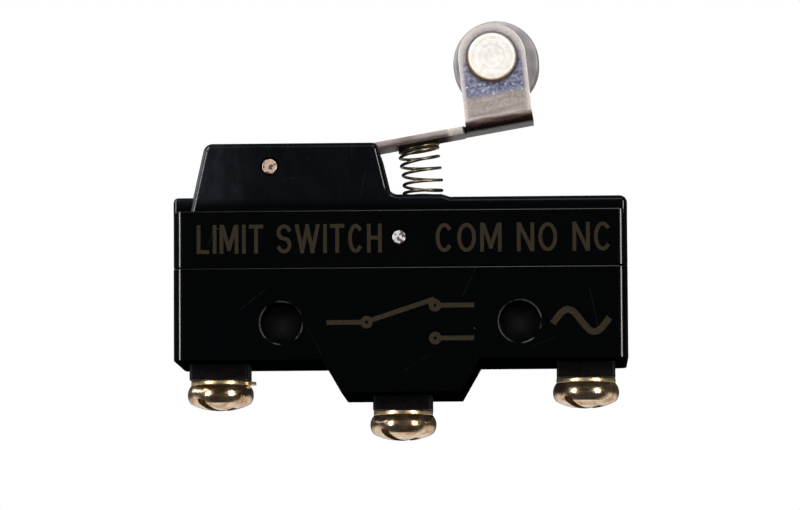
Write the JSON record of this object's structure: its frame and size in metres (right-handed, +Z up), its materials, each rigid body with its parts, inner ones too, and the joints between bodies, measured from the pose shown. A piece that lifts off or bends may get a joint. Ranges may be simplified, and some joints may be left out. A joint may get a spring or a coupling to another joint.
{
  "type": "limit switch",
  "caption": "Snap-action limit switch: black moulded body with through mounting holes, screw terminals below and a sprung hinge lever with a roller above.",
  "frame": {"origin": "midway between the two mounting holes, at mid-thickness of the body", "axes": "+X along the body from the common terminal to the normally-closed terminal, +Y through the mounting holes, +Z up towards the roller"},
  "size_m": [0.0484, 0.0174, 0.0453],
  "materials": {
    "case_phenolic": "moulded phenolic, smooth gloss black",
    "cover_phenolic": "moulded phenolic, gloss black with a duller hump",
    "rivet_steel": "bright drawn pin",
    "lever_steel": "stamped stainless sheet, tumbled",
    "roller_nylon": "natural grey moulded plastic",
    "pin_nickel": "turned, nickel plated",
    "spring_steel": "stainless spring wire",
    "plunger_plastic": "moulded thermoset",
    "blade_copper": "beryllium copper strip",
    "contact_silver": "silver alloy",
    "terminal_brass": "brass, thin dark plating",
    "screw_nickel": "bright nickel plate",
    "washer_nickel": "bright nickel plate"
  },
  "bodies": {
    "case": {"lower_case": "case_phenolic", "cover": "cover_phenolic", "cover_rivet": "rivet_steel", "hinge_pin": "rivet_steel", "return_spring": "spring_steel", "tongue_anchor": "terminal_brass", "common_terminal": "terminal_brass", "normally_open_terminal": "terminal_brass", "normally_closed_terminal": "terminal_brass", "normally_open_contact": "contact_silver", "normally_closed_contact": "contact_silver", "common_screw": "screw_nickel", "common_washer": "washer_nickel", "normally_open_screw": "screw_nickel", "normally_open_washer": "washer_nickel", "normally_closed_screw": "screw_nickel", "normally_closed_washer": "washer_nickel"},
    "lever": {"lever": "lever_steel", "roller_pin": "pin_nickel"},
    "roller": {"roller": "roller_nylon"},
    "plunger": {"plunger": "plunger_plastic"},
    "blade": {"snap_blade": "blade_copper", "moving_contact": "contact_silver"}
  },
  "joints": [
    {"name": "lever_hinge", "type": "hinge", "parent": "case", "child": "lever", "pos_m": [-0.0139, 0, 0.0168], "axis": [0, 1, 0], "range_deg": [0, 10], "stiffness_Nm_per_rad": 0.18, "springref_deg": -3.44, "deforming": ["return_spring"]},
    {"name": "roller_spin", "type": "hinge", "parent": "lever", "child": "roller", "pos_m": [0.01031, 0, 0.02841], "axis": [0, 1, 0], "continuous": true},
    {"name": "plunger_slide", "type": "slide", "parent": "case", "child": "plunger", "axis": [0, 0, -1], "range_m": [0, 0.00045]},
    {"name": "blade_tilt", "type": "hinge", "parent": "case", "child": "blade", "pos_m": [-0.01795, 0, 0.007], "axis": [0, 1, 0], "range_deg": [0, 1.2]}
  ],
  "couplings": [
    {"joint": "plunger_slide", "follows": "lever_hinge", "m_per_rad": 0.00257},
    {"joint": "blade_tilt", "follows": "lever_hinge", "ratio": 0.115}
  ]
}
